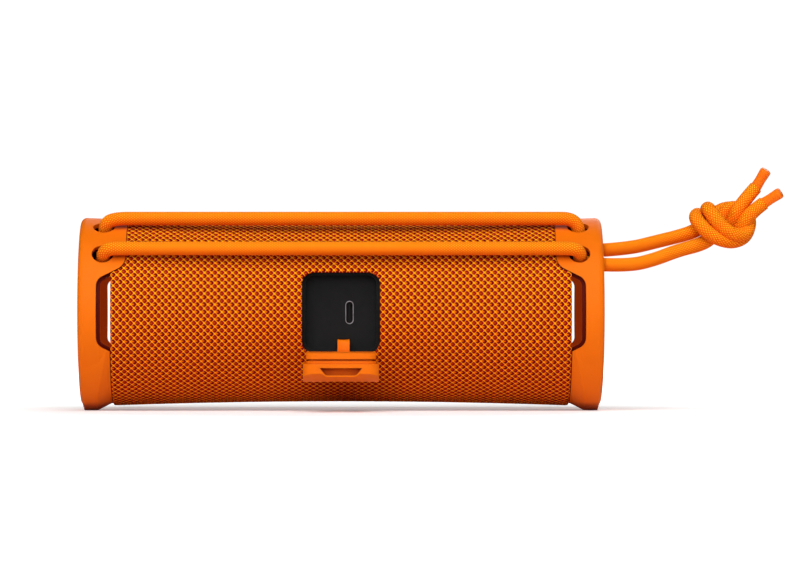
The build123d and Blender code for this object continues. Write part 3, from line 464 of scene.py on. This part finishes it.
# ---------------------------------------------------------------- fabric sleeve
BODY_HALF, END_R, WAIST_R, MEAN_R = 0.0889, 0.0366, 0.0350, 0.036
STRIP_ANGLE = math.radians(115)
BAY_CUT, BAY_CORNER, BAY_DROP = (0.0302, 0.0319), 0.0047, 0.00025
STRIP_CUT, STRIP_CORNER = (0.1122, 0.0152), 0.0051
TAB_X, TAB_LOW, TAB_CORNER, TAB_SLOPE = 0.0832, 0.0182, 0.00545, 0.5
TAB_GAP, TAB_FAR, TAB_TOP = 0.00015, 0.16, 0.1
SNAP = 0.00038  # points this close to an opening's edge move onto it
RELIEF, RIM_DIP, RIM_WIDE, RIM_DEEP = 0.00042, 0.00035, 0.0006, 0.0008


def rounded_distance(p, q, outline, corner):
    """How far points are outside a convex outline with rounded corners. The outline is given without its rounding."""
    nearest, inside = np.full(p.shape, 9.0), np.ones(p.shape, bool)
    for (ax, ay), (bx, by) in zip(outline, outline[1:] + outline[:1]):
        along_x, along_y = bx - ax, by - ay
        share = np.clip(((p - ax) * along_x + (q - ay) * along_y) / (along_x**2 + along_y**2), 0, 1)
        nearest = np.minimum(nearest, np.hypot(p - ax - share * along_x, q - ay - share * along_y))
        inside &= along_x * (q - ay) - along_y * (p - ax) >= 0
    return np.where(inside, -nearest, nearest) - corner


def rectangle(wide, high, corner):
    """A rectangle's outline, anticlockwise, drawn in by its corners' radius."""
    a, b = wide / 2 - corner, high / 2 - corner
    return [(-a, -b), (a, -b), (a, b), (-a, b)]


def sleeve_radius(x):
    return WAIST_R + (END_R - WAIST_R) * (x / BODY_HALF) ** 2


def cut_distance(x, angle):
    """How far points on the sleeve are from the port bay's, the control strip's and the tabs' openings."""
    radius = sleeve_radius(x)
    y, z = radius * np.cos(angle), radius * np.sin(angle)
    bay = rounded_distance(x, z + BAY_DROP, rectangle(*BAY_CUT, BAY_CORNER), BAY_CORNER)
    bay = np.where(y > 0, bay, 1.0)
    over = y * math.cos(STRIP_ANGLE) + z * math.sin(STRIP_ANGLE)
    beside = y * math.sin(STRIP_ANGLE) - z * math.cos(STRIP_ANGLE)
    strip = rounded_distance(x, beside, rectangle(*STRIP_CUT, STRIP_CORNER), STRIP_CORNER)
    strip = np.where(over > 0, strip, 1.0)
    slant = math.hypot(1.0, TAB_SLOPE)
    inner_x = TAB_X - TAB_GAP + TAB_CORNER
    inner_z = TAB_LOW - TAB_GAP + TAB_CORNER * slant - TAB_SLOPE * TAB_CORNER
    far_z = inner_z - TAB_SLOPE * (TAB_FAR - inner_x)
    outline = [(inner_x, inner_z), (TAB_FAR, far_z), (TAB_FAR, TAB_TOP), (inner_x, TAB_TOP)]
    tab = rounded_distance(np.abs(x), z, outline, TAB_CORNER)
    return np.minimum(np.minimum(bay, strip), tab)


def sleeve():
    """The woven tube, with its real relief: up where strands cross and down at the holes."""
    step_x, step_turn = WEAVE_X / 4, 2 * math.pi / (WEAVE_ROUND * 4)
    half = int(BODY_HALF / step_x)
    columns = np.concatenate(([-BODY_HALF], np.arange(-half, half + 1) * step_x, [BODY_HALF]))
    turns = np.arange(WEAVE_ROUND * 4) * step_turn
    x, angle = np.meshgrid(columns, turns, indexing="ij")
    across, up = x * 2 * math.pi / WEAVE_X, angle * WEAVE_ROUND
    hole = np.abs(np.cos(up) - np.cos(across)) / 2
    far = cut_distance(x, angle)
    lost = far < -SNAP
    snap = (np.abs(far) <= SNAP) & (np.abs(x) < BODY_HALF - 0.0001)
    tiny = 0.00002
    for _ in range(3):
        away = cut_distance(x, angle)
        slope_x = (cut_distance(x + tiny, angle) - away) / tiny
        slope_s = (cut_distance(x, angle + tiny / MEAN_R) - away) / tiny
        steep = np.maximum(slope_x**2 + slope_s**2, 0.2)
        x = np.where(snap, x - away * slope_x / steep, x)
        angle = np.where(snap, angle - away * slope_s / steep / MEAN_R, angle)
    rim = np.minimum(np.abs(cut_distance(x, angle)), BODY_HALF - np.abs(x))
    radius = sleeve_radius(x) + 0.00006 - RELIEF * hole
    radius = radius - RIM_DIP * np.clip(1 - rim / RIM_WIDE, 0, 1)
    vertices = np.stack((x, radius * np.cos(angle), AXIS_Z + radius * np.sin(angle)), -1).reshape(-1, 3)
    count = len(turns)
    faces = []
    for i in range(len(columns) - 1):
        for j in range(count):
            k = (j + 1) % count
            if not (lost[i, j] or lost[i + 1, j] or lost[i + 1, k] or lost[i, k]):
                faces.append((i * count + j, i * count + k, (i + 1) * count + k, (i + 1) * count + j))
    corners = np.asarray(faces)
    middle_x = x.reshape(-1)[corners].mean(1)
    first = angle.reshape(-1)[corners]
    turned_by = (first - first[:, :1] + math.pi) % (2 * math.pi) - math.pi
    middle_angle = first[:, 0] + turned_by.mean(1)
    kept = [f for f, d in zip(faces, cut_distance(middle_x, middle_angle)) if d > 0.00002]
    piece = mesh_piece("woven_sleeve", vertices, kept, "fabric_weave")
    form = bmesh.new()
    form.from_mesh(piece.data)
    bmesh.ops.delete(form, geom=[v for v in form.verts if not v.link_faces], context="VERTS")
    edges = [e for e in form.edges if e.is_boundary]
    turned = bmesh.ops.extrude_edge_only(form, edges=edges)["geom"]
    for vertex in (v for v in turned if isinstance(v, bmesh.types.BMVert)):
        out = Vector((0, vertex.co.y, vertex.co.z - AXIS_Z)).normalized()
        vertex.co -= out * RIM_DEEP
    bmesh.ops.recalc_face_normals(form, faces=form.faces)
    # The operators above add points and faces in no fixed order, so they are put in one.
    for group, key in (
        (form.verts, lambda vertex: tuple(vertex.co)),
        (form.edges, lambda edge: sorted(v.index for v in edge.verts)),
        (form.faces, lambda face: sorted(v.index for v in face.verts)),
    ):
        for index, element in enumerate(sorted(group, key=key)):
            element.index = index
        group.sort()
    form.to_mesh(piece.data)
    form.free()
    piece.data.shade_smooth()
    piece.data.set_sharp_from_angle(angle=math.radians(50))
    return piece


woven_sleeve = sleeve()
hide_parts("fabric_sleeve")

# ---------------------------------------------------------------- port cover's tether
TETHER_X = -0.0010
TETHER_SECTION = ((-2.35, -0.6), (-2.15, -0.75), (2.15, -0.75), (2.35, -0.6), (2.35, 0.7), (2.2, 0.85))
TETHER_SECTION += ((1.8, 0.85), (1.55, 0.7), (-1.55, 0.7), (-1.8, 0.85), (-2.2, 0.85), (-2.35, 0.7))


def ribbon(name, path, section, look):
    """A flat strap along a path in an upright plane across X, with the section's width along X."""
    vertices, faces = [], []
    for i, place in enumerate(path):
        tangent = (path[min(i + 1, len(path) - 1)] - path[max(i - 1, 0)]).normalized()
        out = Vector((1, 0, 0)).cross(tangent)
        vertices += [place + Vector((wide, 0, 0)) * 0.001 + out * thick * 0.001 for wide, thick in section]
    size = len(section)
    for i in range(len(path) - 1):
        for k in range(size):
            a, b = i * size + k, i * size + (k + 1) % size
            faces.append((a, b, b + size, a + size))
    faces += [tuple(range(size - 1, -1, -1)), tuple(range(len(vertices) - size, len(vertices)))]
    return mesh_piece(name, vertices, faces, look, body=None)


TETHER_LINE = ((0.0204, 0.0269), (0.0300, 0.0269), (0.0329, 0.0271), (0.0336, 0.0252), (0.0338, 0.0228))
tether_route = [(TETHER_X, y, z) for y, z in TETHER_LINE]
tether = ribbon("cover_tether", spine(tether_route, 12), TETHER_SECTION, "cover_rubber")
tether.data.set_sharp_from_angle(angle=math.radians(50))
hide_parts("port_tether")
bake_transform(tether)

# ---------------------------------------------------------------- rings round the cones and plates, copied in place
def suspension(node, axis, half_slot=0.0):
    """A copy of a ring, round or slot-shaped, held at its outer edge by the housing, put in place of the part, which
    is hidden.
    """
    low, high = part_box(node)
    middle = (low + high) / 2
    data = nodes[node].data.copy()
    data.transform(nodes[node].matrix_world)
    piece = bpy.data.objects.new(f"moving_{node}", data)
    scene.collection.objects.link(piece)
    places = [vertex.co.copy() for vertex in data.vertices]
    for vertex in data.vertices:
        away = vertex.co - middle
        away[axis] = 0.0
        away.x -= min(half_slot, max(-half_slot, away.x))
        vertex.co = (away.length, 0.0, 0.0)
    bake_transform(piece)
    for vertex, place in zip(data.vertices, places):
        vertex.co = place
    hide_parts(node)


for side in ("left", "right"):
    suspension(f"radiator_surround_{side}", 0)
suspension("woofer_surround", 1, half_slot=0.020)
suspension("woofer_spider", 1)

# ---------------------------------------------------------------- strap
UPPER_EXIT = (-0.1023, 0.0134, 0.0625)
LOWER_EXIT = (-0.1023, 0.0234, 0.0567)
held_route = [
    UPPER_EXIT,
    (-0.0924, 0.0134, 0.0625),
    (-0.0924, 0.0173, 0.0747),
    (-0.0796, 0.0173, 0.0747),
    (0.0775, 0.0173, 0.0747),
    (0.0878, 0.0173, 0.0747),
    (0.0916, 0.0166, 0.0728),
    (0.0920, 0.0124, 0.0654),
    (0.0934, 0.0114, 0.0572),
    (0.0934, 0.0170, 0.0518),
    (0.0920, 0.0243, 0.0570),
    (0.0916, 0.0319, 0.0629),
    (0.0820, 0.0319, 0.0629),
    (-0.0819, 0.0319, 0.0629),
    (-0.0924, 0.0319, 0.0629),
    (-0.0924, 0.0234, 0.0567),
    LOWER_EXIT,
]
KNOT = Vector((-0.1478, 0.0172, 0.0722))


def in_knot(*places):
    """Points given as seen from the back: right, up and towards the eye, in millimetres from the knot's middle."""
    return [tuple(KNOT + Vector((-p, y, q)) * 0.001) for p, q, y in places]


upper_route = [
    UPPER_EXIT,
    (-0.1125, 0.0135, 0.0632),
    (-0.1225, 0.0139, 0.0657),
    (-0.1320, 0.0144, 0.0680),
    *in_knot(
        (-9.8, -2.2, -2.6),
        (-5.0, 1.2, -4.2),
        (-1.5, 5.0, -6.6),
        (3.5, 7.0, -8.0),
        (9.0, 5.6, -7.8),
        (11.6, 1.0, -6.0),
        (9.6, -4.4, -1.5),
        (4.8, -6.6, 3.0),
        (0.0, -6.0, 5.3),
        (-4.5, -4.0, 6.2),
        (-8.0, -0.8, 5.8),
        (-10.4, 2.8, 2.4),
        (-8.6, 4.6, -4.6),
        (-8.4, 0.3, -9.0),
        (-3.0, -3.4, -9.0),
        (2.2, -6.0, -5.5),
        (6.5, -4.0, -1.0),
        (8.4, 0.2, 1.6),
        (11.5, 5.0, 2.6),
        (16.3, 8.4, 1.8),
    ),
]
lower_route = [
    LOWER_EXIT,
    (-0.1120, 0.0232, 0.0564),
    (-0.1215, 0.0222, 0.0587),
    (-0.1305, 0.0210, 0.0622),
    *in_knot(
        (-8.8, -7.8, 1.4),
        (-3.9, -5.2, -1.5),
        (-0.5, -0.5, -3.6),
        (0.8, 4.2, -3.9),
        (4.5, 7.2, -3.4),
        (9.5, 5.5, -3.0),
        (11.4, 0.5, -1.0),
        (8.6, -4.3, 3.5),
        (3.5, -3.8, 6.2),
        (-0.8, -0.3, 6.6),
        (-4.2, 4.2, 6.0),
        (-5.4, 6.6, 2.6),
        (-5.2, 5.8, -5.0),
        (-3.2, 2.4, -8.4),
        (0.4, -1.0, -7.4),
        (3.4, -1.8, -4.0),
        (4.4, 1.2, -0.6),
        (7.0, 7.4, 1.2),
        (13.4, 14.5, -1.6),
    ),
]

held_path = spine(held_route)
strap_held = tube("strap_held", held_path, [CORD_R] * len(held_path), "cord_braid")
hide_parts("strap_run")
path_length(held_path)
tips = {
    "upper": ((-0.1641, 0.0190, 0.0806), (-0.1704, 0.0219, 0.0847)),
    "lower": ((-0.1612, 0.0156, 0.0867), (-0.1651, 0.0184, 0.0934)),
}
for name, route in (("upper", upper_route), ("lower", lower_route)):
    path = spine(route)
    radii = [CORD_R * (1.0 + 0.06 * min(1.0, max(0.0, 2.2 - (place - KNOT).length / 0.008))) for place in path]
    strand = tube(f"strap_{name}", path, radii, "cord_braid", start=0.45)
    step, end = (Vector(p) for p in tips[name])
    along = (end - step).normalized()
    tip_path = [step - along * 0.0015 + along * (t / 24) * ((end - step).length + 0.0015) for t in range(25)]
    tip_radii = [TIP_R * (1.0 + 0.03 * math.sin(9.0 * t / 24)) for t in range(24)] + [TIP_R * 0.93]
    tip = tube(f"tip_{name}", tip_path, tip_radii, "cord_tip")
    path_length(path)
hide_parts("strap_tail_upper", "strap_knot")
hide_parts("strap_tail_lower")
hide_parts("strap_tip_lower")
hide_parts("strap_tip_upper")

# ---------------------------------------------------------------- floor
floor_look = Shader("floor")
floor_look.set(Base_Color=(0.92, 0.92, 0.92), Roughness=0.9, Specular_IOR_Level=0.0)
glow = floor_look.node("ShaderNodeEmission")
lit = floor_look.node("ShaderNodeAddShader")
choice = floor_look.node("ShaderNodeMixShader")
far = floor_look.node("ShaderNodeVectorMath", operation="LENGTH")
floor_look.put(far.inputs[0], floor_look.object_place())
fade = floor_look.node("ShaderNodeMapRange")
for socket, value in (("From Min", 0.11), ("From Max", 0.40), ("To Min", 0.22), ("To Max", 1.05)):
    fade.inputs[socket].default_value = value
floor_look.put(fade.inputs["Value"], far.outputs["Value"])
floor_look.put(glow.inputs["Strength"], fade.outputs[0])
floor_look.put(lit.inputs[0], floor_look.bsdf.outputs[0])
floor_look.put(lit.inputs[1], glow.outputs[0])
floor_look.put(choice.inputs[0], floor_look.node("ShaderNodeLightPath").outputs["Is Camera Ray"])
floor_look.put(choice.inputs[1], floor_look.bsdf.outputs[0])
floor_look.put(choice.inputs[2], lit.outputs[0])
floor_look.put(floor_look.tree.nodes["Material Output"].inputs["Surface"], choice.outputs[0])
floor_data = bpy.data.meshes.new("floor")
floor_data.from_pydata([(-8, -8, 0), (8, -8, 0), (8, 8, 0), (-8, 8, 0)], [], [(0, 1, 2, 3)])
floor_data.materials.append(floor_look.material)
floor = bpy.data.objects.new("floor", floor_data)
scene.collection.objects.link(floor)
